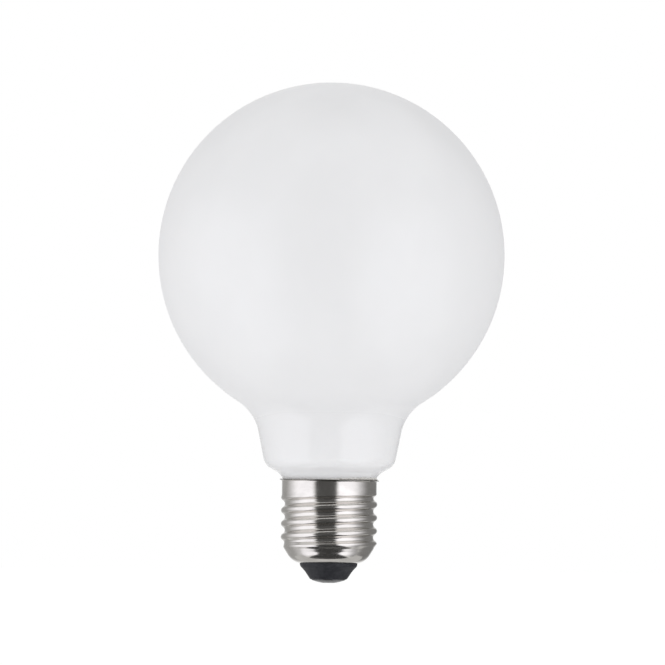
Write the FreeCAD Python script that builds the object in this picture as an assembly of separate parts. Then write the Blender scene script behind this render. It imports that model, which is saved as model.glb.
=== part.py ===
"""Globe bulb with a 27 mm screw cap, in millimetres.

The lamp stands on the tip of its centre contact, with its axis on Z and the globe on top.
It is a sealed opal lamp, so the blown globe is one filled body with a neck and a collar.
The collar is cemented into a thin drawn screw shell, whose thread is rolled into the wall.
A black insulator closes the shell and carries the domed centre contact.
"""

import FreeCAD
import Part

import math
import os

from FreeCAD import Vector

# Rolled knuckle thread of the shell, with angles in degrees
THREAD_PITCH = 3.629
THREAD_MAJOR_RADIUS = 13.2
THREAD_DEPTH = 1.04
FLANK_ANGLE = 51.7
THREAD_LENGTH = 15.1
THREAD_START_ANGLE = 140.0
RUN_IN = 1.6
RUN_OUT = 1.1
ROWS_PER_PITCH = 8
POINTS_ROUND = 24

# Screw shell, drawn from thin sheet
SHEET = 0.3
BAND_STEP = 0.2
BAND_LENGTH = 3.1
LIP_REACH = 0.65
LIP_HEIGHT = 0.7
FOOT_STEP = 0.16
FOOT_HEIGHT = 2.64
FOOT_TAPER = 32.0
RING_WIDTH = 2.45
RING_SLOPE = 27.3
RING_ROUND = 1.8

# Insulator
INSULATOR_HEIGHT = 4.45
INSULATOR_INSET = 2.9
INSULATOR_ROUND = 0.4
FLANGE_OVERLAP = 1.3
FLANGE_THICKNESS = 2.0

# Centre contact, a domed nail
HEAD_INSET = 0.4
HEAD_EDGE = 0.15
DOME_HEIGHT = 0.8
LAND_RADIUS = 1.3
SHANK_RADIUS = 1.1

# Cement between the collar and the shell
CEMENT_GAP = 0.4
CEMENT_RECESS = 0.3

# Blown opal globe
GLOBE_RADIUS = 47.5
NECK_BLEND = 12.5
NECK_LENGTH = 14.81
NECK_TAPER = 11.4
NECK_FOOT_ROUND = 3.5
SHOULDER_WIDTH = 5.5
SHOULDER_SLOPE = 30.0
SHOULDER_BLEND = 4.4
SHOULDER_RISE = 0.9
COLLAR_RAISE = 0.5

# Radii of the cap, from the thread inwards
THREAD_MINOR_RADIUS = THREAD_MAJOR_RADIUS - THREAD_DEPTH
BAND_RADIUS = THREAD_MAJOR_RADIUS - BAND_STEP
FOOT_RADIUS = THREAD_MINOR_RADIUS - FOOT_STEP
RING_RADIUS = FOOT_RADIUS - FOOT_HEIGHT * math.tan(math.radians(FOOT_TAPER))
RING_HOLE_RADIUS = RING_RADIUS - RING_WIDTH
INSULATOR_TIP_RADIUS = RING_HOLE_RADIUS - INSULATOR_INSET
HEAD_RADIUS = INSULATOR_TIP_RADIUS - HEAD_INSET
BORE_RADIUS = THREAD_MINOR_RADIUS - SHEET
BAND_BORE_RADIUS = BAND_RADIUS - SHEET
COLLAR_RADIUS = BAND_BORE_RADIUS - CEMENT_GAP

# Heights above the tip, from the contact upwards
INSULATOR_BOTTOM = DOME_HEIGHT + HEAD_EDGE
RING_BOTTOM = INSULATOR_BOTTOM + INSULATOR_HEIGHT
RING_TOP = RING_BOTTOM + RING_WIDTH * math.tan(math.radians(RING_SLOPE))
THREAD_BOTTOM = RING_TOP + FOOT_HEIGHT
THREAD_TOP = THREAD_BOTTOM + THREAD_LENGTH
BAND_TOP = THREAD_TOP + BAND_LENGTH
LIP_TOP = BAND_TOP + LIP_HEIGHT
COLLAR_BOTTOM = THREAD_TOP + COLLAR_RAISE
CEMENT_TOP = LIP_TOP - CEMENT_RECESS

# The glass, upwards from the shoulder, with the sphere seated on the neck's upper rim
NECK_FOOT_RADIUS = COLLAR_RADIUS + SHOULDER_WIDTH
NECK_TOP_RADIUS = NECK_FOOT_RADIUS + NECK_LENGTH * math.tan(math.radians(NECK_TAPER))
SHOULDER_BOTTOM = LIP_TOP + SHOULDER_RISE
NECK_FOOT = SHOULDER_BOTTOM + SHOULDER_WIDTH * math.tan(math.radians(SHOULDER_SLOPE))
NECK_TOP = NECK_FOOT + NECK_LENGTH
GLOBE_CENTRE = NECK_TOP + math.sqrt(GLOBE_RADIUS**2 - NECK_TOP_RADIUS**2)
GLOBE_TOP = GLOBE_CENTRE + GLOBE_RADIUS

# How near an edge lies to the place where it is looked for
NEAR = 1e-4


def point(radius, height):
    """A point of a half section, which lies in the XZ plane."""
    return Vector(radius, 0, height)


def turned(edges):
    """The solid of revolution about Z of a closed half section."""
    section = Part.Face(Part.Wire(edges))
    return section.revolve(Vector(0, 0, 0), Vector(0, 0, 1), 360)


def lines(points):
    """Straight edges through a run of points."""
    return [Part.makeLine(a, b) for a, b in zip(points, points[1:])]


def rounded(solid, radius, height, fillet):
    """The solid with its circular edge at this radius and height filleted."""
    ring = [
        edge
        for edge in solid.Edges
        if edge.Closed
        and abs(edge.Vertexes[0].Z - height) < NEAR
        and abs(math.hypot(edge.Vertexes[0].X, edge.Vertexes[0].Y) - radius) < NEAR
    ]
    return solid.makeFillet(fillet, ring)


# Blown globe


def make_globe():
    """Sphere, tapered neck, sloping shoulder and the collar that goes into the cap."""
    join_angle = math.atan2(NECK_TOP - GLOBE_CENTRE, NECK_TOP_RADIUS)
    middle = (join_angle + math.pi / 2) / 2
    bowl = Part.Arc(
        point(NECK_TOP_RADIUS, NECK_TOP),
        point(GLOBE_RADIUS * math.cos(middle), GLOBE_CENTRE + GLOBE_RADIUS * math.sin(middle)),
        point(0, GLOBE_TOP),
    ).toShape()
    stem = lines(
        [
            point(0, GLOBE_TOP),
            point(0, COLLAR_BOTTOM),
            point(COLLAR_RADIUS, COLLAR_BOTTOM),
            point(COLLAR_RADIUS, SHOULDER_BOTTOM),
            point(NECK_FOOT_RADIUS, NECK_FOOT),
            point(NECK_TOP_RADIUS, NECK_TOP),
        ]
    )
    globe = turned(stem + [bowl])
    globe = rounded(globe, NECK_TOP_RADIUS, NECK_TOP, NECK_BLEND)
    globe = rounded(globe, NECK_FOOT_RADIUS, NECK_FOOT, NECK_FOOT_ROUND)
    return rounded(globe, COLLAR_RADIUS, SHOULDER_BOTTOM, SHOULDER_BLEND)


# Screw shell


def eased(share):
    """A smooth step from 0 to 1."""
    share = min(max(share, 0), 1)
    return share * share * (3 - 2 * share)


def knuckle_radius(offset):
    """Radius of the thread at a distance along the axis from the middle of a crest.

    Crest and root are arcs of one radius, 1.025 on this cap, joined by a straight flank that
    touches both. The arc's radius follows from the pitch, the depth and the flank's angle.
    """
    flank = math.radians(FLANK_ANGLE)
    run = THREAD_PITCH / 2
    arc = (run * math.tan(flank) - THREAD_DEPTH) / (2 / math.cos(flank) - 2)
    reach = arc * math.sin(flank)
    from_crest = abs((offset + run) % THREAD_PITCH - run)
    from_root = run - from_crest
    if from_crest < reach:
        return THREAD_MAJOR_RADIUS - arc + math.sqrt(arc**2 - from_crest**2)
    if from_root < reach:
        return THREAD_MINOR_RADIUS + arc - math.sqrt(arc**2 - from_root**2)
    middle = (THREAD_MAJOR_RADIUS + THREAD_MINOR_RADIUS) / 2
    return middle - (from_crest - run / 2) * math.tan(flank)


def thread_section(height):
    """The shell's outline at one height, which the thread pushes off centre.

    The thread fades into the plain foot below it and into the plain band above it.
    """
    above = height - THREAD_BOTTOM
    below = THREAD_TOP - height
    depth = eased(above / RUN_IN) * eased(below / RUN_OUT)
    plain = FOOT_RADIUS if above < below else BAND_RADIUS
    if depth == 0:
        return Part.Wire([Part.Circle(Vector(0, 0, height), Vector(0, 0, 1), plain).toShape()])
    points = []
    for step in range(POINTS_ROUND):
        turn = step / POINTS_ROUND
        offset = above - THREAD_PITCH * (turn + THREAD_START_ANGLE / 360)
        radius = plain + depth * (knuckle_radius(offset) - plain)
        angle = 2 * math.pi * turn
        points.append(Vector(radius * math.cos(angle), radius * math.sin(angle), height))
    outline = Part.BSplineCurve()
    outline.interpolate(Points=points, PeriodicFlag=True)
    return Part.Wire([outline.toShape()])


def make_thread():
    """The rolled thread, lofted through level sections of the shell."""
    rows = round(THREAD_LENGTH / THREAD_PITCH * ROWS_PER_PITCH)
    heights = [THREAD_BOTTOM + THREAD_LENGTH * row / rows for row in range(rows + 1)]
    return Part.makeLoft([thread_section(height) for height in heights], True, True)


def lip_centre():
    """Centre and radius of the arc that flares the lip out from the band."""
    radius = (LIP_REACH**2 + LIP_HEIGHT**2) / (2 * LIP_REACH)
    return BAND_RADIUS + radius, radius


def lip_point(offset, height):
    """Point of the flared lip, this far inside its outer face and at this height."""
    centre, radius = lip_centre()
    reach = radius + offset
    return point(centre - math.sqrt(reach**2 - (height - BAND_TOP) ** 2), height)


def lip_arc(offset, height):
    """Arc of the lip from the top of the band up to a height."""
    middle = (BAND_TOP + height) / 2
    through = [lip_point(offset, z) for z in (BAND_TOP, middle, height)]
    return Part.Arc(*through).toShape()


def lip_rim():
    """The inner corner of the lip's edge, which is square to the sheet."""
    centre, radius = lip_centre()
    stretch = (radius + SHEET) / radius
    outer = lip_point(0, LIP_TOP)
    return point(centre + (outer.x - centre) * stretch, BAND_TOP + (outer.z - BAND_TOP) * stretch)


def ring_seat(radius):
    """Height of the inner face of the bottom ring at a radius."""
    slope = math.radians(RING_SLOPE)
    return RING_BOTTOM + SHEET / math.cos(slope) + (radius - RING_HOLE_RADIUS) * math.tan(slope)


def inner_corner():
    """Radius and height where the inner faces of the ring and the foot meet."""
    slope = math.tan(math.radians(RING_SLOPE))
    lean = math.tan(math.radians(FOOT_TAPER))
    # The foot's inner face is the line r = start + lean * z
    start = FOOT_RADIUS - SHEET / math.cos(math.radians(FOOT_TAPER)) - THREAD_BOTTOM * lean
    seat = ring_seat(0)
    radius = (start + lean * seat) / (1 - lean * slope)
    return radius, seat + radius * slope


def make_shell():
    """Ring, foot, thread, band and lip, hollowed to the thickness of the sheet."""
    foot = turned(
        lines(
            [
                point(0, RING_BOTTOM),
                point(RING_HOLE_RADIUS, RING_BOTTOM),
                point(RING_RADIUS, RING_TOP),
                point(FOOT_RADIUS, THREAD_BOTTOM),
                point(0, THREAD_BOTTOM),
                point(0, RING_BOTTOM),
            ]
        )
    )
    foot = rounded(foot, RING_RADIUS, RING_TOP, RING_ROUND)
    rim = lip_rim()
    band = turned(
        lines(
            [
                lip_point(0, LIP_TOP),
                rim,
                point(0, rim.z),
                point(0, THREAD_TOP),
                point(BAND_RADIUS, THREAD_TOP),
                lip_point(0, BAND_TOP),
            ]
        )
        + [lip_arc(0, LIP_TOP)]
    )
    outside = foot.fuse([make_thread(), band])

    corner_radius, corner_height = inner_corner()
    lean = math.tan(math.radians(FOOT_TAPER))
    bore_bottom = corner_height + (BORE_RADIUS - corner_radius) / lean
    inside = turned(
        lines(
            [
                lip_point(SHEET, rim.z),
                point(0, rim.z),
                point(0, RING_BOTTOM),
                point(RING_HOLE_RADIUS, RING_BOTTOM),
                point(RING_HOLE_RADIUS, ring_seat(RING_HOLE_RADIUS)),
                point(corner_radius, corner_height),
                point(BORE_RADIUS, bore_bottom),
                point(BORE_RADIUS, THREAD_TOP - (BAND_BORE_RADIUS - BORE_RADIUS)),
                point(BAND_BORE_RADIUS, THREAD_TOP),
                lip_point(SHEET, BAND_TOP),
            ]
        )
        + [lip_arc(SHEET, rim.z)]
    )
    return outside.cut(inside)


# Small pieces


def make_cement():
    """Cement around the glass, out to the band and up into the flare of the lip."""
    plug = turned(
        lines(
            [
                lip_point(SHEET, CEMENT_TOP),
                point(0, CEMENT_TOP),
                point(0, COLLAR_BOTTOM),
                point(BAND_BORE_RADIUS, COLLAR_BOTTOM),
                lip_point(SHEET, BAND_TOP),
            ]
        )
        + [lip_arc(SHEET, CEMENT_TOP)]
    )
    return plug.cut(make_globe())


def make_insulator():
    """Cone through the ring's hole, with a flange that seats on the inside of the ring."""
    flange_radius = RING_HOLE_RADIUS + FLANGE_OVERLAP
    top = ring_seat(flange_radius) + FLANGE_THICKNESS
    insulator = turned(
        lines(
            [
                point(SHANK_RADIUS, INSULATOR_BOTTOM),
                point(INSULATOR_TIP_RADIUS, INSULATOR_BOTTOM),
                point(RING_HOLE_RADIUS, RING_BOTTOM),
                point(RING_HOLE_RADIUS, ring_seat(RING_HOLE_RADIUS)),
                point(flange_radius, ring_seat(flange_radius)),
                point(flange_radius, top),
                point(SHANK_RADIUS, top),
                point(SHANK_RADIUS, INSULATOR_BOTTOM),
            ]
        )
    )
    return rounded(insulator, INSULATOR_TIP_RADIUS, INSULATOR_BOTTOM, INSULATOR_ROUND)


def make_contact():
    """Domed head with a small flat land at its tip, and a shank through the insulator."""
    shank_top = ring_seat(RING_HOLE_RADIUS + FLANGE_OVERLAP) + FLANGE_THICKNESS
    spread = HEAD_RADIUS**2 - LAND_RADIUS**2
    centre = (spread + DOME_HEIGHT**2) / (2 * DOME_HEIGHT)
    dome_radius = math.hypot(LAND_RADIUS, centre)
    middle = (LAND_RADIUS + HEAD_RADIUS) / 2
    dome = Part.Arc(
        point(LAND_RADIUS, 0),
        point(middle, centre - math.sqrt(dome_radius**2 - middle**2)),
        point(HEAD_RADIUS, DOME_HEIGHT),
    ).toShape()
    return turned(
        lines(
            [
                point(HEAD_RADIUS, DOME_HEIGHT),
                point(HEAD_RADIUS, INSULATOR_BOTTOM),
                point(SHANK_RADIUS, INSULATOR_BOTTOM),
                point(SHANK_RADIUS, shank_top),
                point(0, shank_top),
                point(0, 0),
                point(LAND_RADIUS, 0),
            ]
        )
        + [dome]
    )


PIECES = {
    "globe": make_globe,
    "screw_shell": make_shell,
    "cap_cement": make_cement,
    "insulator": make_insulator,
    "centre_contact": make_contact,
}

os.makedirs("parts", exist_ok=True)
for name, make in PIECES.items():
    piece = make()
    print(name, "solids", len(piece.Solids), "valid", piece.isValid(), "volume", round(piece.Volume, 1))
    piece.exportStep(f"parts/{name}.step")
print("overall length", round(GLOBE_TOP, 2))
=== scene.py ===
# %% [markdown]
# # Globe bulb
# An opal glass globe lamp on a nickel-plated screw cap. The real lamp is made of few pieces: a
# blown globe, a cap drawn from thin sheet with the thread rolled into it, a bead of cement
# that holds the two together, a black insulator and a domed contact.
#
# The imported model gives the exact place and size of each piece, so loading it comes first.

# %% Load the frame
import math

import bmesh
import bpy
from mathutils import Matrix, Vector, noise


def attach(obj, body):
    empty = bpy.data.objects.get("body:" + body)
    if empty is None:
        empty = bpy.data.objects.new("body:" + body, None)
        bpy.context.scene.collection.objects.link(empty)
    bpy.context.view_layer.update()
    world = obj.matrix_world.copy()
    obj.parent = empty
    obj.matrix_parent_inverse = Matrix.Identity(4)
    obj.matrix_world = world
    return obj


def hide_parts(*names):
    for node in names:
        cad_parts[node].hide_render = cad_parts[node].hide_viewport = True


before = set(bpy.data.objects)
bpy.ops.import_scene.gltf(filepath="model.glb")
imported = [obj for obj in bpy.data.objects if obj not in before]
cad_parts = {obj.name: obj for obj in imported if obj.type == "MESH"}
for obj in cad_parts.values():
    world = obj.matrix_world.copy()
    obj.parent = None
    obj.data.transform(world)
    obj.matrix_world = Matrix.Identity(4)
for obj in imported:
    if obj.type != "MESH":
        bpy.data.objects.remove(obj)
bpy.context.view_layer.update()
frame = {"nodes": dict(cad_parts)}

scene = bpy.context.scene
print("nodes:", ", ".join(frame["nodes"]))

# %% [markdown]
# ## Drawing in millimetres
# Every piece of a lamp is round, so each starts as a half outline in the XZ plane, drawn in
# millimetres as on a workshop drawing. Two strokes are enough: a straight run, which extrudes
# one vertex, and an arc, which spins one vertex about a centre. Rounding a corner afterwards
# with a vertex bevel is easier than working out where a small arc would start and end.
#
# So the sizes of a shape below are in millimetres, and a pair is a distance from the axis and
# a height above the contact's tip. Sizes in a finish, a light or the camera are in metres.

# %% Strokes of an outline
def run_to(bm, start, radius, height, steps=1):
    """Draws a straight run from a vertex, in equal steps, and returns its far end."""
    near, far = start.co.copy(), Vector((radius, 0, height))
    pen = start
    for step in range(1, steps + 1):
        pen = bmesh.ops.extrude_vert_indiv(bm, verts=[pen])["verts"][0]
        pen.co = near.lerp(far, step / steps)
    return pen


def arc_about(bm, start, centre, angle, steps):
    """Spins a vertex about a centre in the XZ plane, from up towards +X, and returns its end."""
    made = bmesh.ops.spin(
        bm, geom=[start], cent=(centre[0], 0, centre[1]), axis=(0, 1, 0), angle=angle, steps=steps
    )
    return made["geom_last"][0]


def round_corner(bm, corner, reach, steps):
    """Rounds a corner of the outline, starting this far from it on both sides."""
    bmesh.ops.bevel(
        bm, geom=[corner], offset=reach, offset_type="OFFSET", segments=steps, profile=0.5,
        affect="VERTICES", material=-1,
    )


# %% [markdown]
# ## From an outline to a piece
# A full spin with its ends merged turns the outline into a closed skin. The poles come out as
# rings of vertices on one spot, so doubles are merged before the normals are made to point
# outwards. At the very end the mesh is scaled from millimetres to metres, and the object
# itself stays at the origin, unturned and unscaled.

# %% Turning and finishing
POLE_MERGE = 0.0005
SHARP = math.radians(38)


def turned(draw, steps):
    """Draws an outline and turns it about Z into a closed skin whose faces point outwards."""
    bm = bmesh.new()
    draw(bm)
    bmesh.ops.spin(
        bm, geom=bm.verts[:] + bm.edges[:], cent=(0, 0, 0), axis=(0, 0, 1),
        angle=math.tau, steps=steps, use_merge=True,
    )
    bmesh.ops.remove_doubles(bm, verts=bm.verts, dist=POLE_MERGE)
    bmesh.ops.recalc_face_normals(bm, faces=bm.faces)
    return bm


def new_object(name, bm, finish):
    """Makes an object from a bmesh and a material, and links it into the scene."""
    mesh = bpy.data.meshes.new(name)
    bm.to_mesh(mesh)
    bm.free()
    mesh.materials.append(finish)
    made = bpy.data.objects.new(name, mesh)
    scene.collection.objects.link(made)
    return made


def finished(name, bm, finish, node):
    """Makes the piece, smooth and in metres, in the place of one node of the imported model."""
    bmesh.ops.scale(bm, vec=(0.001, 0.001, 0.001), verts=bm.verts)
    for face in bm.faces:
        face.smooth = True
    for edge in bm.edges:
        edge.smooth = edge.calc_face_angle(0) < SHARP
    piece = new_object(name, bm, finish)
    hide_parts(node)
    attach(piece, "root")
    print(name, len(piece.data.polygons), "faces, in place of", node)
    return piece


# %% [markdown]
# ## Wiring a finish
# Each finish is a node tree that reads Object coordinates, so its pattern is fixed to the
# piece and has the right scale in metres. A few small helpers keep the trees short: they
# start a material, make a node with its inputs set, and link or set a socket.

# %% Node helpers
def new_finish(name):
    """A new material with its tree, its Principled shader and the object's coordinates."""
    finish = bpy.data.materials.new(name)
    finish.use_nodes = True
    tree = finish.node_tree
    shader = tree.nodes["Principled BSDF"]
    place = tree.nodes.new("ShaderNodeTexCoord").outputs["Object"]
    return finish, tree, shader, place


def put(tree, socket, value):
    """Sets a socket to a number or colour, or links it from another socket."""
    if isinstance(value, bpy.types.NodeSocket):
        tree.links.new(value, socket)
    else:
        socket.default_value = value


def set_inputs(tree, made, **inputs):
    """Sets a node's inputs by their names, to numbers, colours or sockets to link from."""
    for key, value in inputs.items():
        put(tree, made.inputs[key.replace("_", " ")], value)


def node(tree, kind, settings=(), **inputs):
    """Adds a node with its settings and its inputs."""
    made = tree.nodes.new("ShaderNode" + kind)
    for key, value in dict(settings).items():
        setattr(made, key, value)
    set_inputs(tree, made, **inputs)
    return made


# %% [markdown]
# ## Patterns
# Real surfaces are never even. One noise gives their clouds, grain and lines: the scale says
# how many waves it has in a metre along each axis, so unequal scales draw it out into lines.
# The same noise then blends two tones, sets the roughness and lifts the surface, so that the
# marks of a finish agree with each other.

# %% Pattern helpers
def stretched_noise(tree, place, scale, detail=4.0):
    """Noise that may be finer along one axis than another, from a Mapping node's scale."""
    mapped = node(tree, "Mapping", Vector=place, Scale=scale)
    return node(
        tree, "TexNoise", Vector=mapped.outputs["Vector"], Scale=1.0, Detail=detail,
        Roughness=0.55,
    ).outputs["Fac"]


def between(tree, share, low, high, start=0.3, end=0.7):
    """A number that goes from low to high as the share goes from start to end."""
    made = node(tree, "MapRange", {"interpolation_type": "SMOOTHSTEP"}, Value=share)
    for socket, value in zip(("From Min", "From Max", "To Min", "To Max"), (start, end, low, high)):
        put(tree, made.inputs[socket], value)
    return made.outputs["Result"]


def two_tones(tree, share, first, second):
    """A colour that goes from the first tone to the second. Either may be a socket."""
    made = node(tree, "Mix", {"data_type": "RGBA"})
    put(tree, made.inputs[0], share)
    for index, tone in ((6, first), (7, second)):
        put(tree, made.inputs[index], (*tone, 1) if isinstance(tone, tuple) else tone)
    return made.outputs[2]


def mottled(tree, pattern, first, second):
    """A colour that wanders between two tones with a pattern."""
    return two_tones(tree, between(tree, pattern, 0, 1), first, second)


def add_bump(tree, shader, height, depth, before=None):
    """Adds a bump this many metres deep to a shader, on top of an earlier one."""
    made = node(tree, "Bump", Height=height, Strength=1.0, Distance=depth)
    if before:
        put(tree, made.inputs["Normal"], before)
    put(tree, shader.inputs["Normal"], made.outputs["Normal"])
    return made.outputs["Normal"]


# %% [markdown]
# ## Opal glass
# The globe is clear blown glass with a white coating on its inside. Light enters the coating,
# scatters and comes out again a little further on, and the clear skin over it gives a soft
# gloss. One shader does both: a white base with some subsurface, under a specular layer with
# the index of glass. A blown wall is never quite even, so a slow noise moves the coating's
# tone by a hundredth and tilts the reflections very slightly.
#
# The gloss isn't the same all over. The ball took a fine matt from its mould and blurs what it
# reflects, more so towards its rim, where glass seen edge-on reflects most. The neck was
# polished by the flame, so the soft boxes stand in it as clear upright bars. The roughness
# therefore goes from the neck's to the ball's over a few millimetres at the top of the neck.

# %% Opal glass finish
OPAL_THIN = (0.850, 0.851, 0.864)
OPAL_FULL = (0.872, 0.873, 0.886)
BALL_ROUGHNESS = (0.28, 0.45)
NECK_ROUGHNESS = (0.10, 0.14)
NECK_TOP = (0.043, 0.047)

opal_glass, tree, shader, place = new_finish("opal_glass")
cloud = stretched_noise(tree, place, (38, 38, 30), detail=3.0)
set_inputs(tree, shader, Base_Color=mottled(tree, cloud, OPAL_THIN, OPAL_FULL))
speckle = stretched_noise(tree, place, (900, 900, 900), detail=2.0)
rim = node(tree, "LayerWeight", Blend=0.5).outputs["Facing"]
ball = between(tree, rim, *BALL_ROUGHNESS, start=0.3, end=0.9)
neck = between(tree, speckle, *NECK_ROUGHNESS)
height = node(tree, "SeparateXYZ", Vector=place).outputs["Z"]
set_inputs(
    tree, shader, Roughness=between(tree, height, neck, ball, *NECK_TOP), IOR=1.5,
    Specular_IOR_Level=0.42, Subsurface_Weight=0.35, Subsurface_Radius=(1.0, 0.97, 0.95),
    Subsurface_Scale=0.004,
)
wave = stretched_noise(tree, place, (26, 26, 20), detail=2.0)
add_bump(tree, shader, wave, depth=0.0004)
print("opal glass: coating", OPAL_THIN, "to", OPAL_FULL)

# %% [markdown]
# ## Blown globe
# The real globe is blown in a mould, from a ball into a tapered neck that turns in over a
# soft shoulder to the narrow collar in the cap. A UV sphere joined to a cylinder would leave
# a hard crease, and a subdivided cage would only come near the ball. Drawing the outline with
# true arcs keeps it round everywhere: the ball, the hollow blend under it, the straight neck,
# and two rounded corners. The blend's centre lies one blend radius outside both the ball and
# the neck.

# %% Outline of the glass
GLOBE_RADIUS = 47.5
GLOBE_CENTRE = 89.8
NECK_BLEND = 12.5
NECK_TAPER = math.radians(11.4)
NECK_FOOT = (17.8, 32.28)
NECK_FOOT_REACH = 1.58
SHOULDER = (12.3, 29.105)
SHOULDER_REACH = 2.54
COLLAR_BOTTOM = 24.905


def blend_centre():
    """Centre of the hollow blend between the ball and the neck, in the XZ plane."""
    up = Vector((math.sin(NECK_TAPER), math.cos(NECK_TAPER)))
    out = Vector((up.y, -up.x))
    # On the line that runs one blend radius beside the neck, find the point that lies one blend
    # radius outside the ball. Until the last line, heights count from the ball's centre
    start = Vector(NECK_FOOT) + NECK_BLEND * out - Vector((0, GLOBE_CENTRE))
    along = start.dot(up)
    reach = GLOBE_RADIUS + NECK_BLEND
    way = -along - math.sqrt(along**2 - start.length_squared + reach**2)
    return start + way * up + Vector((0, GLOBE_CENTRE))


def draw_glass(bm):
    """Draws the glass from the top of the ball down to the end of the collar."""
    centre = blend_centre()
    ball_sweep = math.atan2(centre.x, centre.y - GLOBE_CENTRE)
    blend_sweep = ball_sweep - math.pi / 2 - NECK_TAPER
    pen = bm.verts.new((0, 0, GLOBE_CENTRE + GLOBE_RADIUS))
    pen = arc_about(bm, pen, (0, GLOBE_CENTRE), ball_sweep, steps=90)
    pen = arc_about(bm, pen, centre, -blend_sweep, steps=16)
    foot = run_to(bm, pen, *NECK_FOOT, steps=5)
    shoulder = run_to(bm, foot, *SHOULDER, steps=2)
    pen = run_to(bm, shoulder, SHOULDER[0], COLLAR_BOTTOM)
    run_to(bm, pen, 0, COLLAR_BOTTOM, steps=2)
    round_corner(bm, foot, NECK_FOOT_REACH, steps=10)
    round_corner(bm, shoulder, SHOULDER_REACH, steps=12)


finished("opal_globe", turned(draw_glass, steps=192), opal_glass, "globe")

# %% [markdown]
# ## Plated sheet
# The cap is brass or steel sheet with bright nickel over it. Nickel is a mirror with a warm
# tone, blurred by the fine lines that the drawing tools left round the shell. Those lines are
# noise squeezed hard along the axis and hardly at all round it. They change the roughness and
# tilt the surface a little, so that reflections run into streaks up and down. The rollers
# and later handling leave faint cloudy scuffs as well. The lip's outermost edge is painted
# dark, a painted shade that draws a thin dark line along the lip. Only the lip reaches that
# far from the axis, so the distance from the axis finds it.

# %% Nickel finish
NICKEL_BRIGHT = (0.705, 0.680, 0.645)
NICKEL_DULL = (0.620, 0.597, 0.566)
# Painted shade: the tone of the thin dark line on the lip's outer edge, and where it fades in
PAINTED_LIP_SHADE = (0.20, 0.19, 0.18)
PAINTED_LIP_SHADE_REACH = (0.01327, 0.0136)


def from_axis(tree, place):
    """The distance from the lamp's axis, in metres."""
    flat = node(tree, "VectorMath", {"operation": "MULTIPLY"})
    put(tree, flat.inputs[0], place)
    put(tree, flat.inputs[1], (1, 1, 0))
    length = node(tree, "VectorMath", {"operation": "LENGTH"})
    put(tree, length.inputs[0], flat.outputs["Vector"])
    return length.outputs["Value"]


nickel, tree, shader, place = new_finish("nickel_plate")
scuff = stretched_noise(tree, place, (220, 220, 420), detail=5.0)
plate = mottled(tree, scuff, NICKEL_BRIGHT, NICKEL_DULL)
# Painted shade along the lip's outermost edge, found by its distance from the axis
painted_lip_shade = between(tree, from_axis(tree, place), 0, 1, *PAINTED_LIP_SHADE_REACH)
lines = stretched_noise(tree, place, (60, 60, 14000), detail=3.0)
set_inputs(
    tree, shader, Metallic=1.0, Base_Color=two_tones(tree, painted_lip_shade, plate, PAINTED_LIP_SHADE),
    Roughness=between(tree, lines, 0.10, 0.20),
)
dents = add_bump(tree, shader, scuff, depth=0.00002)
add_bump(tree, shader, lines, depth=0.0000015, before=dents)
print("nickel: bright", NICKEL_BRIGHT, "dull", NICKEL_DULL)

# %% [markdown]
# ## Screw shell
# The shell starts as a plain cup drawn from sheet, and rollers then press the thread into its
# wall. The same steps work here. First the cup's outline is turned: a curled lip, the plain
# band, the wall, the tapered foot and the round ring at the bottom, which touches the taper
# without a corner. The wall gets many short rows, because the thread will need them. The cup
# is open at both ends, so its faces may come out turned inwards, and then they are reversed.

# %% Plain cup
BAND_RADIUS = 13.0
BAND_TOP = 27.8
LIP_BEND = 0.4
LIP_SWEEP = math.radians(80)
LIP_EDGE = (13.65, 28.25)
THREAD_MAJOR = 13.2
THREAD_TOP = 24.405
BAND_EASE = 1.0
FOOT_TAPER = math.radians(32)
FOOT_ROUND = 0.7
RING_CENTRE = (7.052, 10.208)
RING_RADIUS = 4.882
RING_SWEEP = math.radians(48)


def draw_cup(bm):
    """Draws the outside of the cup from the edge of the lip down to the hole in its ring."""
    pen = bm.verts.new((BAND_RADIUS, 0, BAND_TOP))
    lip = arc_about(bm, pen, (BAND_RADIUS + LIP_BEND, BAND_TOP), LIP_SWEEP, steps=8)
    run_to(bm, lip, *LIP_EDGE, steps=2)
    out = Vector((math.cos(FOOT_TAPER), -math.sin(FOOT_TAPER)))
    foot = Vector(RING_CENTRE) + RING_RADIUS * out
    # The wall ends where the small arc under it has to start to touch the taper
    wall_end = foot.y + (THREAD_MAJOR - foot.x) / math.tan(FOOT_TAPER)
    wall_end += FOOT_ROUND * math.tan(FOOT_TAPER / 2)
    pen = run_to(bm, pen, BAND_RADIUS, THREAD_TOP, steps=8)
    pen = run_to(bm, pen, THREAD_MAJOR, THREAD_TOP - BAND_EASE, steps=8)
    pen = run_to(bm, pen, THREAD_MAJOR, wall_end, steps=90)
    pen = arc_about(bm, pen, (THREAD_MAJOR - FOOT_ROUND, wall_end), FOOT_TAPER, steps=8)
    pen = run_to(bm, pen, *foot, steps=48)
    arc_about(bm, pen, RING_CENTRE, RING_SWEEP, steps=16)


shell = turned(draw_cup, steps=200)
band = min(shell.faces, key=lambda face: abs(face.calc_center_median().z - BAND_TOP + 1))
if band.normal.dot(band.calc_center_median()) < 0:
    bmesh.ops.reverse_faces(shell, faces=shell.faces[:])
    print("turned the cup's faces outwards")
print("cup", len(shell.faces), "faces")

# %% [markdown]
# ## Rolled thread
# A helical sweep would need its two ends cut and stitched to the cup. Here the winding groove
# is pressed into the wall instead: every vertex moves in to the radius that the thread has at
# its height and angle. The crests keep the cup's own radius, the wall stays one skin, and the
# groove fades out at both ends, as the real thread does.

# %% Roll the thread into the cup
THREAD_PITCH = 3.629
THREAD_MINOR = 12.16
THREAD_BOTTOM = 9.305
THREAD_START = 140 / 360
FLANK = math.radians(51.7)
RUN_IN = 2.2
RUN_OUT = 1.1
ROLLED_FROM = 9.2


def eased(share):
    """A smooth step from 0 to 1."""
    share = min(max(share, 0), 1)
    return share * share * (3 - 2 * share)


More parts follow.
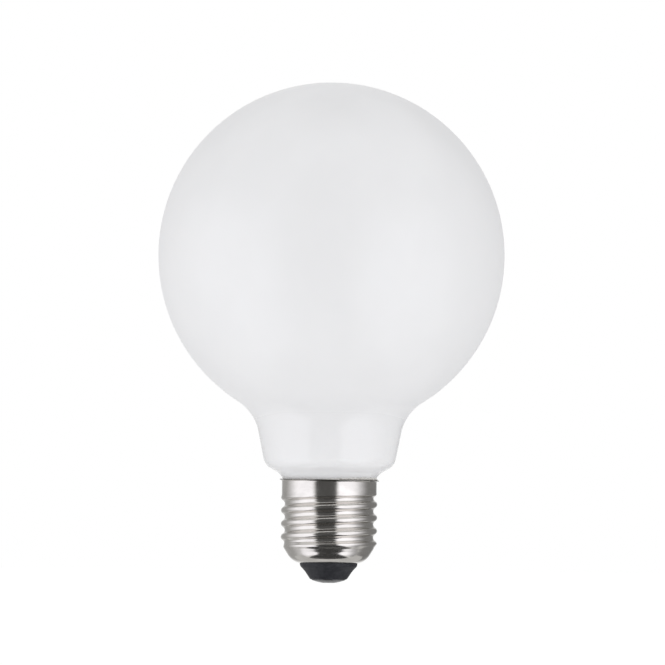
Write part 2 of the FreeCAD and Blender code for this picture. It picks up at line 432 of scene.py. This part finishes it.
def knuckle_radius(offset):
    """Radius of the thread at a distance along the axis from the middle of a crest.

    Crest and root are arcs of one radius, joined by a straight flank that touches both.
    """
    run = THREAD_PITCH / 2
    arc = (run * math.tan(FLANK) - THREAD_MAJOR + THREAD_MINOR) / (2 / math.cos(FLANK) - 2)
    reach = arc * math.sin(FLANK)
    from_crest = abs((offset + run) % THREAD_PITCH - run)
    from_root = run - from_crest
    if from_crest < reach:
        return THREAD_MAJOR - arc + math.sqrt(arc**2 - from_crest**2)
    if from_root < reach:
        return THREAD_MINOR + arc - math.sqrt(arc**2 - from_root**2)
    return (THREAD_MAJOR + THREAD_MINOR) / 2 - (from_crest - run / 2) * math.tan(FLANK)


def narrow(vert, depth):
    """Pushes a vertex this far towards the axis."""
    share = 1 - depth / math.hypot(vert.co.x, vert.co.y)
    vert.co.x *= share
    vert.co.y *= share


for vert in shell.verts:
    started = eased((vert.co.z - ROLLED_FROM) / RUN_IN)
    press = started * eased((THREAD_TOP - vert.co.z) / RUN_OUT)
    turns = math.atan2(vert.co.y, vert.co.x) / math.tau + THREAD_START
    groove = THREAD_MAJOR - knuckle_radius(vert.co.z - THREAD_BOTTOM - THREAD_PITCH * turns)
    narrow(vert, press * groove)
print("thread:", THREAD_PITCH, "mm pitch,", 2 * THREAD_MAJOR, "mm over the crests")

# %% [markdown]
# ## Dent and uneven rim
# The rollers leave a last shallow dent on the taper under the thread, deepest at the front.
# It starts steeply at the top, which draws a thin dark line, and runs out slowly below, which
# spreads a bright patch. A list of heights and depths gives that uneven profile, with an
# eased step from each to the next. The rim isn't quite level either: it sits lower on the
# right, where the cement shows. Small faults like these cost a few lines and keep a turned
# piece from looking like a drawing.

# %% Dent of the rollers and uneven rim
# Pairs of a height and the depth of the dent there, from the top down
DENT = ((9.85, 0), (9.3, 0.19), (8.7, 0.155), (7.5, 0))
DENT_ANGLE = math.radians(-89)
DENT_SPREAD = math.radians(62)
RIM_SINK = 0.32
RIM_SINK_FROM = 2.0
RIM_LOW_ANGLE = -0.5  # radians


def hump(distance, reach):
    """1 at no distance, falling smoothly to 0 at the reach."""
    return 0.5 + 0.5 * math.cos(math.pi * min(abs(distance) / reach, 1))


def apart(angle, other):
    """The angle from one direction to another, from minus to plus half a turn."""
    return (angle - other + math.pi) % math.tau - math.pi


def dent_depth(height):
    """Depth of the dent at this height, from its top edge down to its lower one."""
    for (high, before), (low, after) in zip(DENT, DENT[1:]):
        if low <= height < high:
            return before + (after - before) * eased((high - height) / (high - low))
    return 0


for vert in shell.verts:
    angle = math.atan2(vert.co.y, vert.co.x)
    narrow(vert, dent_depth(vert.co.z) * hump(apart(angle, DENT_ANGLE), DENT_SPREAD))
    near_rim = eased((vert.co.z - BAND_TOP + RIM_SINK_FROM) / RIM_SINK_FROM)
    vert.co.z -= RIM_SINK * (near_rim * (0.5 + 0.5 * math.cos(angle - RIM_LOW_ANGLE)))
print("dent:", max(depth for height, depth in DENT), "mm deep, rim sunk by", RIM_SINK, "mm")

# %% [markdown]
# ## Thickness of the sheet
# The outside is finished, and only now does the skin get its thickness. Solidify grows the
# inner side from it, so the inside follows the thread too, as in rolled sheet. The cut edges
# at the lip and at the ring's hole come out square, and a small bevel takes off their corners.

# %% Give the sheet its thickness
SHEET = 0.24
SQUARE_EDGE = math.radians(60)
EDGE_ROUND = 0.06

bmesh.ops.solidify(shell, geom=shell.faces[:], thickness=SHEET)
bmesh.ops.recalc_face_normals(shell, faces=shell.faces)
cut_edges = [edge for edge in shell.edges if edge.calc_face_angle(0) > SQUARE_EDGE]
bmesh.ops.bevel(
    shell, geom=cut_edges, offset=EDGE_ROUND, offset_type="OFFSET", segments=3, profile=0.5,
    affect="EDGES", material=-1,
)
print("rounded", len(cut_edges), "edges of the sheet")
screw_shell = finished("rolled_shell", shell, nickel, "screw_shell")
print("shell reaches", [round(1000 * side, 2) for side in screw_shell.dimensions])

# %% [markdown]
# ## Cement
# A thin bead of cement fills the gap between the glass and the shell. It is dull, pale and
# grainy. A fine noise with much detail gives the grain, which changes the tone, the roughness
# and the surface together.

# %% Cement finish
CEMENT_DARK = (0.58, 0.56, 0.53)
CEMENT_PALE = (0.80, 0.79, 0.76)

cement, tree, shader, place = new_finish("cap_cement")
grain = stretched_noise(tree, place, (2600, 2600, 2600), detail=6.0)
set_inputs(
    tree, shader, Base_Color=mottled(tree, grain, CEMENT_DARK, CEMENT_PALE),
    Roughness=between(tree, grain, 0.75, 0.95),
)
add_bump(tree, shader, grain, depth=0.00008)
print("cement: grains", CEMENT_DARK, "to", CEMENT_PALE)

# %% [markdown]
# ## Bead of cement
# Where the cement was squeezed out over the lip its edge is ragged. The bead is turned as a
# closed ring first: up the glass, over a crown and down inside the shell. Then the crown is
# lifted and sunk by a noise, most on the right where more was squeezed out. The side on the
# glass has to stay on it while it moves, so those vertices are set back onto the glass.

# %% Bead of cement
CEMENT_OUT = 12.74
GLASS_BLEND = 4.4
GLASS_BLEND_START = 26.565
BEAD_TOP = 28.7
# Radius, height and steps of each run over the crown and down the outer side
CROWN = (
    (13.02, BEAD_TOP - 0.03, 2),
    (13.22, 28.36, 3),
    (12.79, 28.05, 2),
    (CEMENT_OUT, BAND_TOP - 0.1, 2),
    (CEMENT_OUT, COLLAR_BOTTOM, 2),
)


def draw_bead(bm):
    """Draws the bead from its foot, up the glass, over its crown and down inside the shell."""
    rise = math.asin((BEAD_TOP - GLASS_BLEND_START) / GLASS_BLEND)
    start = bm.verts.new((SHOULDER[0], 0, COLLAR_BOTTOM))
    pen = run_to(bm, start, SHOULDER[0], GLASS_BLEND_START, steps=2)
    pen = arc_about(bm, pen, (SHOULDER[0] + GLASS_BLEND, GLASS_BLEND_START), rise, steps=10)
    for radius, height, steps in CROWN:
        pen = run_to(bm, pen, radius, height, steps)
    bm.edges.new((pen, start))


bead = turned(draw_bead, steps=320)
print("bead", len(bead.faces), "faces")

# %% Make its crown ragged
SQUEEZED_ANGLE = math.radians(-38)
SQUEEZED_SPREAD = math.radians(75)
SQUEEZED_LIFT = 0.55
SETTLED = 0.35
LUMPS = 0.2
SQUEEZED_LUMPS = 0.25
LUMPS_PER_MM = 1.7
ON_GLASS = 0.05


def glass_flare(height):
    """Radius of the glass where it flares out over the collar."""
    rise = min(max(height - GLASS_BLEND_START, 0), GLASS_BLEND)
    return SHOULDER[0] + GLASS_BLEND - math.sqrt(GLASS_BLEND**2 - rise**2)


def off_glass(vert):
    """How far outside the glass a vertex lies."""
    return math.hypot(vert.co.x, vert.co.y) - glass_flare(vert.co.z)


for vert in bead.verts:
    share = eased((vert.co.z - BAND_TOP) / (BEAD_TOP - BAND_TOP))
    if share == 0:
        continue
    angle = math.atan2(vert.co.y, vert.co.x)
    squeezed = hump(apart(angle, SQUEEZED_ANGLE), SQUEEZED_SPREAD)
    # Five layers of noise, each 2.2 times finer and 2.2**0.6 times fainter than the one before
    rough = noise.fractal(vert.co * LUMPS_PER_MM, 0.6, 2.2, 5)
    lumps = (LUMPS + SQUEEZED_LUMPS * squeezed) * rough
    on_glass = off_glass(vert) < ON_GLASS
    vert.co.z += share * (SQUEEZED_LIFT * squeezed - SETTLED + lumps)
    if on_glass:
        narrow(vert, off_glass(vert))
finished("cement_bead", bead, cement, "cap_cement")

# %% [markdown]
# ## Black insulator
# The insulator is moulded in black. It is satin: black with a weak, blurred gloss, and a fine
# unevenness that breaks up its highlights.

# %% Insulator finish
MOULDED_DARK = (0.028, 0.029, 0.034)
MOULDED_PALE = (0.038, 0.039, 0.045)

black, tree, shader, place = new_finish("black_insulator")
cast = stretched_noise(tree, place, (700, 700, 700), detail=4.0)
set_inputs(
    tree, shader, Base_Color=mottled(tree, cast, MOULDED_DARK, MOULDED_PALE),
    Roughness=between(tree, cast, 0.34, 0.46), IOR=1.5, Specular_IOR_Level=0.16,
)
add_bump(tree, shader, cast, depth=0.00003)
print("insulator:", MOULDED_DARK, "to", MOULDED_PALE)

# %% [markdown]
# ## Insulator
# It is a cone through the hole in the shell's ring, with a flat end round the contact, a
# slight shoulder just under the ring, and a flange that sits on the ring inside the shell.
# A plain cone has sharp corners that catch no light, so the three that show are rounded.

# %% Shape of the insulator
SHANK_RADIUS = 1.1
INSULATOR_BOTTOM = 0.95
INSULATOR_TIP = 5.0
CONE_TOP = (6.6, 3.35)
CONE_SHOULDER = (7.82, 4.6)
RING_HOLE = (7.9, 5.4)
SEAT_INNER = 5.74
SEAT_OUTER = 6.41
FLANGE_RADIUS = 9.2
FLANGE_TOP = 8.41


def draw_insulator(bm):
    """Draws the insulator from the contact's shank out to the cone, and up to its flange."""
    start = bm.verts.new((SHANK_RADIUS, 0, INSULATOR_BOTTOM))
    edge = run_to(bm, start, INSULATOR_TIP, INSULATOR_BOTTOM, steps=3)
    cone = run_to(bm, edge, *CONE_TOP, steps=3)
    shoulder = run_to(bm, cone, *CONE_SHOULDER, steps=2)
    pen = run_to(bm, shoulder, *RING_HOLE)
    pen = run_to(bm, pen, RING_HOLE[0], SEAT_INNER)
    pen = run_to(bm, pen, FLANGE_RADIUS, SEAT_OUTER)
    pen = run_to(bm, pen, FLANGE_RADIUS, FLANGE_TOP)
    pen = run_to(bm, pen, SHANK_RADIUS, FLANGE_TOP)
    bm.edges.new((pen, start))
    round_corner(bm, edge, reach=0.25, steps=5)
    round_corner(bm, cone, reach=0.6, steps=5)
    round_corner(bm, shoulder, reach=0.35, steps=6)


cone = turned(draw_insulator, steps=160)
finished("insulator_cone", cone, black, "insulator")

# %% [markdown]
# ## Contact metal
# The contact's plating is darker and duller than the shell's. Its tone is darkened further with
# painted shade, so that the dome looks as dark as the insulator. It has small marks where it
# was pressed home, and the marks come from one fine noise again.

# %% Contact finish
# Tones of the contact, darkened with painted shade below those of its plating
CONTACT_SHADED_DARK = (0.065, 0.065, 0.070)
CONTACT_SHADED_PALE = (0.100, 0.099, 0.100)

contact_metal, tree, shader, place = new_finish("contact_metal")
marks = stretched_noise(tree, place, (1500, 1500, 1500), detail=6.0)
set_inputs(
    tree, shader, Metallic=1.0, Base_Color=mottled(tree, marks, CONTACT_SHADED_DARK, CONTACT_SHADED_PALE),
    Roughness=between(tree, marks, 0.24, 0.40),
)
add_bump(tree, shader, marks, depth=0.00002)
print("contact:", CONTACT_SHADED_DARK, "to", CONTACT_SHADED_PALE)

# %% [markdown]
# ## Centre contact
# The contact is a domed nail, pressed through the insulator. Its dome is an arc that starts
# from a small flat land at the tip, so the arc's centre follows from the two radii and the
# dome's height.

# %% Shape of the contact
HEAD_RADIUS = 4.6
HEAD_EDGE = 0.15
LAND_RADIUS = 1.3
DOME_HEIGHT = INSULATOR_BOTTOM - HEAD_EDGE


def draw_contact(bm):
    """Draws the contact from its flat land over the dome and up the shank."""
    lift = (HEAD_RADIUS**2 - LAND_RADIUS**2 + DOME_HEIGHT**2) / (2 * DOME_HEIGHT)
    sweep = math.atan2(HEAD_RADIUS, lift - DOME_HEIGHT) - math.atan2(LAND_RADIUS, lift)
    land = bm.verts.new((0, 0, 0))
    pen = run_to(bm, land, LAND_RADIUS, 0, steps=2)
    edge = arc_about(bm, pen, (0, lift), -sweep, steps=10)
    pen = run_to(bm, edge, HEAD_RADIUS, INSULATOR_BOTTOM)
    pen = run_to(bm, pen, SHANK_RADIUS, INSULATOR_BOTTOM)
    pen = run_to(bm, pen, SHANK_RADIUS, FLANGE_TOP)
    run_to(bm, pen, 0, FLANGE_TOP)


head = turned(draw_contact, steps=128)
finished("contact_head", head, contact_metal, "centre_contact")

# %% [markdown]
# ## Camera
# The lamp was photographed from far away, so its sides hardly converge, and from the height of
# its contact: the turns of the thread curve up in the middle, as rings above the eye do. A long
# lens at two and a half metres, hardly above the floor and tilted up a little, sees the same.
# The lamp leans by half a degree in the picture, and a camera rolled the other way gives that
# lean while the lamp stands upright in its frame.

# %% Camera
DISTANCE = 2.5
EYE_HEIGHT = 0.004
LOOKED_AT = (0.00047, 0.0687)
FRAME_WIDTH = 0.1824
LEAN = math.radians(0.54)

lens = bpy.data.cameras.new("camera")
lens.sensor_width = 36
lens.lens = lens.sensor_width * DISTANCE / FRAME_WIDTH
lens.clip_end = 100
camera = bpy.data.objects.new("camera", lens)
camera.location = (LOOKED_AT[0], -DISTANCE, EYE_HEIGHT)
tilt = math.atan((LOOKED_AT[1] - EYE_HEIGHT) / DISTANCE)
aim = Matrix.Rotation(math.pi / 2 + tilt, 3, "X") @ Matrix.Rotation(LEAN, 3, "Z")
camera.rotation_euler = aim.to_euler()
scene.collection.objects.link(camera)
scene.camera = camera
print("lens", round(lens.lens), "mm, tilted up by", round(math.degrees(tilt), 2), "degrees")

# %% [markdown]
# ## Ground
# The lamp stands in front of plain white. The floor is white paper that still catches the
# lamp's shadow: for the camera it glows a little under its own colour, so that it is just
# white where nothing shades it. Its underside is clear, so the cap can be seen from below.
# Light Path tells the rays that see the paper from those that only carry its light.

# %% Helpers for paints and rays
def new_paint(name):
    """A new material and its tree, without the Principled shader."""
    paint = bpy.data.materials.new(name)
    paint.use_nodes = True
    paint.cycles.emission_sampling = "NONE"
    tree = paint.node_tree
    tree.nodes.remove(tree.nodes["Principled BSDF"])
    return paint, tree


def seen_directly(tree):
    """1 for rays from the camera, from a mirror or through glass, and 0 for the light."""
    path = tree.nodes.new("ShaderNodeLightPath")
    total = path.outputs["Is Camera Ray"]
    for kind in ("Is Glossy Ray", "Is Transmission Ray"):
        adder = node(tree, "Math", {"operation": "ADD", "use_clamp": True})
        put(tree, adder.inputs[0], total)
        put(tree, adder.inputs[1], path.outputs[kind])
        total = adder.outputs[0]
    return total


def glowing_diffuse(tree, grey, glow):
    """A diffuse grey with a little light of its own."""
    both = tree.nodes.new("ShaderNodeAddShader")
    put(tree, both.inputs[0], node(tree, "BsdfDiffuse", Color=(grey, grey, grey, 1)).outputs[0])
    put(tree, both.inputs[1], node(tree, "Emission", Strength=glow).outputs[0])
    return both.outputs[0]


def mixed(tree, share, first, second):
    """The first shader where the share is 0, and the second where it is 1."""
    made = tree.nodes.new("ShaderNodeMixShader")
    for index, value in enumerate((share, first, second)):
        put(tree, made.inputs[index], value)
    return made.outputs[0]


# %% Floor
FLOOR_SIZE = 12
# Grey of the paper and the strength of its glow, for the light and for the camera
PAPER_LIT = (0.88, 0.2)
PAPER_SEEN = (0.45, 0.64)

paper, tree = new_paint("paper")
lit = glowing_diffuse(tree, *PAPER_LIT)
shown = glowing_diffuse(tree, *PAPER_SEEN)
by_ray = mixed(tree, seen_directly(tree), lit, shown)
clear = tree.nodes.new("ShaderNodeBsdfTransparent").outputs[0]
from_below = tree.nodes.new("ShaderNodeNewGeometry").outputs["Backfacing"]
set_inputs(tree, tree.nodes["Material Output"], Surface=mixed(tree, from_below, by_ray, clear))

bm = bmesh.new()
bmesh.ops.create_grid(bm, x_segments=1, y_segments=1, size=FLOOR_SIZE)
floor = new_object("floor", bm, paper)
floor.visible_glossy = False
print("floor:", 2 * FLOOR_SIZE, "m wide")

# %% [markdown]
# ## World
# The world is plain white where it is seen. As a light it is soft and even, a little stronger
# from the horizon than from overhead, which keeps the top of the globe from washing out.

# %% World
HORIZON_LIGHT = 1.10
ZENITH_LIGHT = 0.76

world = bpy.data.worlds.new("white")
world.use_nodes = True
world.cycles.sampling_method = "NONE"
scene.world = world
tree = world.node_tree
way = tree.nodes.new("ShaderNodeTexCoord").outputs["Generated"]
height = node(tree, "SeparateXYZ", Vector=way).outputs["Z"]
sky = between(tree, height, HORIZON_LIGHT, ZENITH_LIGHT, 0, 1)
strength = node(tree, "Mix")
for index, value in ((0, seen_directly(tree)), (2, sky), (3, 1.0)):
    put(tree, strength.inputs[index], value)
set_inputs(tree, tree.nodes["Background"], Color=(1, 1, 1, 1), Strength=strength.outputs[0])
print("sky:", HORIZON_LIGHT, "at the horizon,", ZENITH_LIGHT, "overhead")

# %% [markdown]
# ## Studio
# What makes nickel look like nickel is what stands around it: two tall soft boxes left and
# right, a dark slot between them where the camera looks in, pale tent walls above and below,
# and grey screens at the sides. Each is a card that only reflections see, and its brightness
# fades towards its edges, so its reflection has soft edges. The paint of an upright card works
# with the angle round the lamp, and that of a level card with X and Y.

# %% Paint of a card
def math_node(tree, operation, first, second):
    """The result of a Math node for two numbers or sockets."""
    made = node(tree, "Math", {"operation": operation})
    put(tree, made.inputs[0], first)
    put(tree, made.inputs[1], second)
    return made.outputs[0]


def soft_step(tree, value, low, high, soft_low, soft_high):
    """1 between two limits, fading to 0 over a soft width inside each of them."""
    rising = between(tree, value, 0, 1, low, low + soft_low)
    falling = between(tree, value, 1, 0, high - soft_high, high)
    return math_node(tree, "MULTIPLY", rising, falling)


def card_paint(name, strength, tint, across, along, curved):
    """Glowing paint for a card. Across and along give two limits and two soft widths each."""
    paint, tree = new_paint(name)
    place = tree.nodes.new("ShaderNodeTexCoord").outputs["Object"]
    axes = node(tree, "SeparateXYZ", Vector=place).outputs
    if curved:
        front = math_node(tree, "MULTIPLY", axes["Y"], -1)
        first, second = math_node(tree, "ARCTAN2", axes["X"], front), axes["Z"]
    else:
        first, second = axes["X"], axes["Y"]
    share = math_node(
        tree, "MULTIPLY", soft_step(tree, first, *across), soft_step(tree, second, *along)
    )
    glow = node(tree, "Emission", Color=(*tint, 1), Strength=strength).outputs[0]
    clear = tree.nodes.new("ShaderNodeBsdfTransparent").outputs[0]
    set_inputs(tree, tree.nodes["Material Output"], Surface=mixed(tree, share, clear, glow))
    return paint


# %% [markdown]
# ## Soft boxes
# An upright card is one edge, spun round the lamp between two angles. A level card is a grid
# of one face, stretched to its size. Neither is seen by the camera or casts a shadow, so they
# shape the reflections and leave the light alone. The boxes are nearest and lie in front.

# %% Cards
WHITE = (1, 1, 1)
COOL = (0.97, 0.97, 1.03)


def hang(name, bm, paint):
    """Makes a card that nothing but reflections can see."""
    panel = new_object(name, bm, paint)
    for kind in ("camera", "diffuse", "transmission", "volume_scatter", "shadow"):
        setattr(panel, "visible_" + kind, False)


def curved_card(name, distance, sides, soft_sides, heights, soft_heights, strength, tint=WHITE):
    """An upright card bent round the lamp. Its sides are degrees from the camera, left negative."""
    left, right, soft_left, soft_right = (math.radians(a) for a in (*sides, *soft_sides))
    bm = bmesh.new()
    low = bm.verts.new((distance * math.sin(left), -distance * math.cos(left), heights[0]))
    high = bm.verts.new((low.co.x, low.co.y, heights[1]))
    edge = bm.edges.new((low, high))
    bmesh.ops.spin(
        bm, geom=[low, high, edge], cent=(0, 0, 0), axis=(0, 0, 1), angle=right - left, steps=48
    )
    across = (left, right, soft_left, soft_right)
    hang(name, bm, card_paint(name, strength, tint, across, (*heights, *soft_heights), True))


def flat_card(name, height, half_width, depths, soft, strength):
    """A level card over or under the lamp. Its depths run from the camera's side to the back."""
    near, far = depths
    bm = bmesh.new()
    bmesh.ops.create_grid(bm, x_segments=1, y_segments=1, size=1)
    bmesh.ops.scale(bm, vec=(half_width, (far - near) / 2, 1), verts=bm.verts)
    bmesh.ops.translate(bm, vec=(0, (near + far) / 2, height), verts=bm.verts)
    across = (-half_width, half_width, soft, soft)
    hang(name, bm, card_paint(name, strength, WHITE, across, (near, far, soft, soft), False))


BOX_HEIGHTS = (-2.3, 0.85)
BOX_SOFT = (0.9, 0.35)

# Distance, sides and their soft widths, heights and their soft widths, strength and tint
curved_card("box_left", 1.3, (-132, -32), (60, 12), BOX_HEIGHTS, BOX_SOFT, 1.45, COOL)
curved_card("box_right", 1.3, (16, 112), (10, 66), BOX_HEIGHTS, BOX_SOFT, 1.55, COOL)
print("boxes from", BOX_HEIGHTS[0], "to", BOX_HEIGHTS[1], "m")

# %% [markdown]
# ## Slot, tent and screens
# Behind the boxes the other cards are hung at growing distances, so that a nearer one hides
# what lies behind it. The dark slot and the dark ground in front draw the black bar and the
# dark patch on the shell's foot, and the grey screens keep its sides from turning white.

# %% Slot, tent and screens
# An upright card as above. A level card has its height, half width, depths, soft width, strength
curved_card("dark_slot", 1.5, (-40, 24), (10, 10), (-3.0, 5.2), (0.3, 3.0), 0.10)
curved_card("dark_skirt", 1.5, (-140, 120), (25, 25), (-8.5, -2.4), (1.5, 0.5), 0.08)
flat_card("dark_ground", -0.9, 0.56, (-1.6, 0.2), 0.12, 0.06)
flat_card("grey_ground", -0.95, 1.2, (0.1, 1.6), 0.2, 0.64)
flat_card("grey_roof", 2.2, 0.55, (-0.1, 1.8), 0.35, 0.3)
flat_card("roof", 2.3, 4.0, (-4.0, 4.0), 0.8, 0.8)
curved_card("tent", 1.8, (-150, 150), (20, 20), (-6.0, 2.3), (1.0, 0.3), 0.82)
curved_card("screen_left", 1.6, (-180, -88), (25, 12), (-2.4, 1.8), (0.6, 0.6), 0.44)
curved_card("screen_right", 1.6, (62, 180), (20, 25), (-2.4, 1.8), (0.6, 0.6), 0.25)

# %% [markdown]
# ## Lamps
# The light itself comes from the world and from two large lamps that reflections don't see.
# They stand at the two sides of the camera, and being large they leave no hard shadow.

# %% Lamps
LAMP_DISTANCE = 1.5
LAMP_HEIGHT = 0.1
LAMP_SIZE = 1.2
LAMP_POWER = 0.4
LIT_POINT = Vector((0, 0, 0.075))


def lamp(name, angle):
    """A large square lamp that looks at the middle of the bulb. Reflections don't see it."""
    light = bpy.data.lights.new(name, "AREA")
    light.size = LAMP_SIZE
    light.energy = LAMP_POWER
    side = math.radians(angle)
    place = Vector((LAMP_DISTANCE * math.sin(side), -LAMP_DISTANCE * math.cos(side), LAMP_HEIGHT))
    holder = bpy.data.objects.new(name, light)
    holder.location = place
    holder.rotation_euler = (LIT_POINT - place).to_track_quat("-Z", "Y").to_euler()
    holder.visible_camera = False
    holder.visible_glossy = False
    scene.collection.objects.link(holder)


lamp("lamp_left", -50)
lamp("lamp_right", 40)
print("lamps:", LAMP_POWER, "W each")

# %% [markdown]
# ## View
# The view transform is Standard, so a colour of the render is the colour that was written.

# %% Finish
scene.view_settings.view_transform = "Standard"
